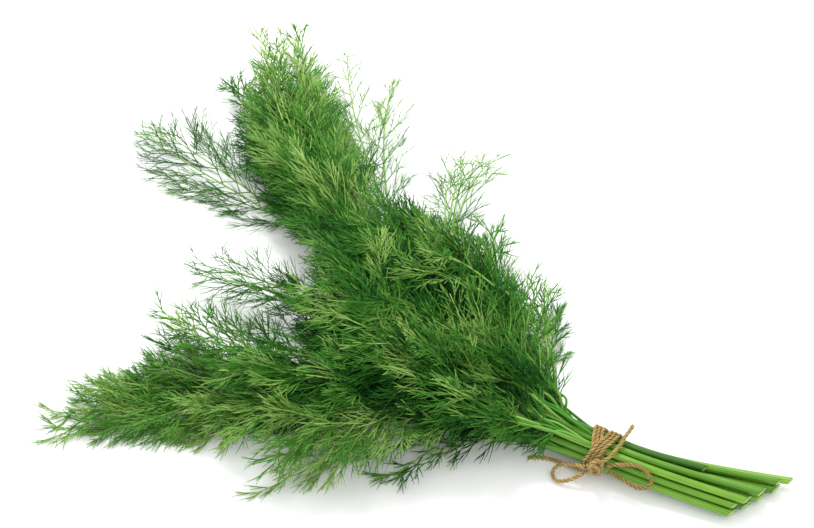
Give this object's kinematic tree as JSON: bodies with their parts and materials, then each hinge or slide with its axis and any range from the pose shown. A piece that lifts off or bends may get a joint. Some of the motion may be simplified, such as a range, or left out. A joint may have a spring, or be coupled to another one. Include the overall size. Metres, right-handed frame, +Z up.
{
  "type": "dill bunch",
  "caption": "Bunch of fresh cut dill lying on its side: slim green stalks tied with jute twine in a bow, feathery leaves fanned out.",
  "frame": {"origin": "bottom centre of the bounding box of the stalks and leaves, on the surface that the bunch lies on", "axes": "+X runs along the bunch towards the cut ends of the stalks, -X towards the leaf tips; +Y across the bunch; +Z up from the surface"},
  "size_m": [0.3864, 0.2854, 0.0464],
  "materials": {
    "stem": "satin",
    "leaf": "satin",
    "twine": "matte"
  },
  "bodies": {
    "root": {"stem_01": "stem", "stem_02": "stem", "stem_03": "stem", "stem_04": "stem", "stem_05": "stem", "stem_06": "stem", "stem_07": "stem", "stem_08": "stem", "stem_09": "stem", "stem_10": "stem", "stem_11": "stem", "stem_12": "stem", "stem_13": "stem", "stem_14": "stem", "stem_15": "stem", "stem_16": "stem", "leaf_01": "leaf", "leaf_02": "leaf", "leaf_03": "leaf", "leaf_04": "leaf", "leaf_05": "leaf", "leaf_06": "leaf", "leaf_07": "leaf", "leaf_08": "leaf", "leaf_09": "leaf", "leaf_10": "leaf", "leaf_11": "leaf", "leaf_12": "leaf", "leaf_13": "leaf", "leaf_14": "leaf", "leaf_15": "leaf", "leaf_16": "leaf", "leaf_17": "leaf", "leaf_18": "leaf", "leaf_19": "leaf", "leaf_20": "leaf", "leaf_21": "leaf", "leaf_22": "leaf", "leaf_23": "leaf", "leaf_24": "leaf", "leaf_25": "leaf", "leaf_26": "leaf", "leaf_27": "leaf", "leaf_28": "leaf", "leaf_29": "leaf", "leaf_30": "leaf", "leaf_31": "leaf", "leaf_32": "leaf", "leaf_33": "leaf", "leaf_34": "leaf", "leaf_35": "leaf", "leaf_36": "leaf", "leaf_37": "leaf", "leaf_38": "leaf", "twine_winding": "twine", "twine_knot": "twine", "twine_loop_left": "twine", "twine_loop_right": "twine", "twine_tail_left": "twine", "twine_tail_right": "twine"}
  },
  "joints": []
}
